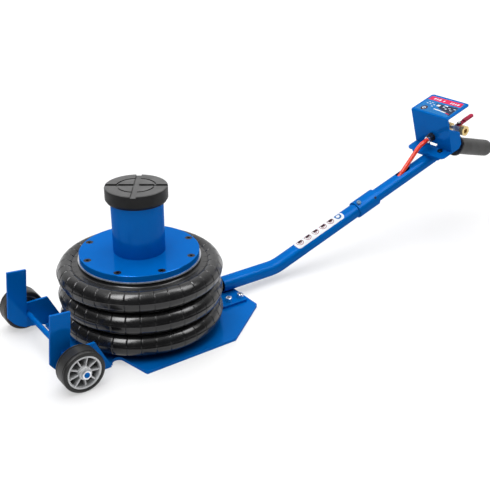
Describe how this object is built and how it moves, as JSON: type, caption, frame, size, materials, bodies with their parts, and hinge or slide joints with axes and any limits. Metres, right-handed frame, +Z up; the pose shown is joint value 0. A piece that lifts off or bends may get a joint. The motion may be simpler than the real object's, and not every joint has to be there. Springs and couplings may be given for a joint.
{
  "type": "air bag floor jack",
  "caption": "Low floor jack with a bellows air bag, lift plate, extension pillar and rubber saddle, on wheels, with a long bent handle and an air control head.",
  "frame": {"origin": "on the ground, under the air bag's axis, on the underside of the base plate", "axes": "+X towards the handle, +Z up along the lift"},
  "size_m": [1.2229, 0.314, 0.3133],
  "materials": {
    "blue_paint": "gloss",
    "bag_rubber": "satin",
    "saddle_rubber": "matte",
    "tyre_rubber": "satin",
    "hub_plastic": "satin",
    "zinc_steel": "bright zinc",
    "black_steel": "black oxide",
    "plain_steel": "machined",
    "nickel": "satin nickel plate",
    "brass": "turned",
    "red_lever": "dipped vinyl",
    "black_plastic": "gloss",
    "hose_plastic": "gloss",
    "grip_rubber": "matte",
    "label_film": "gloss film",
    "panel_film": "gloss film"
  },
  "bodies": {
    "base": {"base_plate": "blue_paint", "left_side_plate": "blue_paint", "right_side_plate": "blue_paint", "left_parking_leg": "blue_paint", "right_parking_leg": "blue_paint", "axle": "blue_paint", "wheel_spacers": "zinc_steel", "wheel_retainers": "zinc_steel", "bag_base_flange": "blue_paint", "lower_clamp_ring": "plain_steel", "lower_clamp_screws": "black_steel", "bag_lower_convolution": "bag_rubber", "guide_outer_tube": "plain_steel", "air_channel_bar": "blue_paint", "air_inlet_elbow": "black_plastic", "handle_foot_plate": "blue_paint", "foot_screws": "zinc_steel", "handle_lower_tube": "blue_paint", "handle_sleeve": "blue_paint", "sleeve_screws": "zinc_steel", "sleeve_set_screw": "black_steel", "handle_upper_tube": "blue_paint", "handle_label": "label_film", "supply_hose": "hose_plastic", "grip": "grip_rubber", "head_mount_plate": "blue_paint", "control_head_bracket": "blue_paint", "head_bracket_screws": "black_steel", "panel_label": "panel_film", "bulkhead_fitting": "black_plastic", "hose_collet": "zinc_steel", "manifold_tee": "brass", "inlet_valve_body": "nickel", "inlet_lever_nut": "black_steel", "inlet_port": "brass", "exhaust_valve_body": "nickel", "exhaust_lever_nut": "black_steel", "exhaust_silencer": "brass"},
    "left_wheel": {"left_wheel_tyre": "tyre_rubber", "left_wheel_hub": "hub_plastic"},
    "right_wheel": {"right_wheel_tyre": "tyre_rubber", "right_wheel_hub": "hub_plastic"},
    "lower_girdle": {"lower_girdle_ring": "plain_steel", "guide_second_stage": "plain_steel", "bag_middle_convolution": "bag_rubber"},
    "upper_girdle": {"upper_girdle_ring": "plain_steel", "guide_third_stage": "plain_steel", "bag_upper_convolution": "bag_rubber"},
    "lift_head": {"lift_plate": "blue_paint", "lift_plate_bolts": "black_steel", "upper_bead_flange": "zinc_steel", "upper_clamp_ring": "plain_steel", "guide_inner_stage": "plain_steel", "pillar_spigot": "plain_steel"},
    "pillar": {"extension_pillar": "blue_paint", "saddle_pad": "saddle_rubber"},
    "inlet_lever": {"inlet_valve_lever": "red_lever"},
    "exhaust_lever": {"exhaust_valve_lever": "red_lever"}
  },
  "joints": [
    {"name": "left_wheel_spin", "type": "hinge", "parent": "base", "child": "left_wheel", "pos_m": [-0.1905, 0, 0.0385], "axis": [0, 1, 0], "continuous": true},
    {"name": "right_wheel_spin", "type": "hinge", "parent": "base", "child": "right_wheel", "pos_m": [-0.1905, 0, 0.0385], "axis": [0, 1, 0], "continuous": true},
    {"name": "first_stage_lift", "type": "slide", "parent": "base", "child": "lower_girdle", "axis": [0, 0, 1], "range_m": [0, 0.08], "deforming": ["bag_lower_convolution"]},
    {"name": "second_stage_lift", "type": "slide", "parent": "lower_girdle", "child": "upper_girdle", "axis": [0, 0, 1], "range_m": [0, 0.08], "deforming": ["bag_middle_convolution"]},
    {"name": "third_stage_lift", "type": "slide", "parent": "upper_girdle", "child": "lift_head", "axis": [0, 0, 1], "range_m": [0, 0.08], "deforming": ["bag_upper_convolution"]},
    {"name": "pillar_lift_off", "type": "slide", "parent": "lift_head", "child": "pillar", "axis": [0, 0, 1], "range_m": [0, 0.03]},
    {"name": "inlet_lever_turn", "type": "hinge", "parent": "base", "child": "inlet_lever", "pos_m": [0.83003, -0.036, 0.25004], "axis": [0.3173, 0, -0.9483], "range_deg": [0, 90]},
    {"name": "exhaust_lever_turn", "type": "hinge", "parent": "base", "child": "exhaust_lever", "pos_m": [0.83003, 0.036, 0.25004], "axis": [-0.3173, 0, 0.9483], "range_deg": [0, 90]}
  ],
  "couplings": [
    {"joint": "second_stage_lift", "follows": "first_stage_lift", "ratio": 1},
    {"joint": "third_stage_lift", "follows": "first_stage_lift", "ratio": 1}
  ]
}
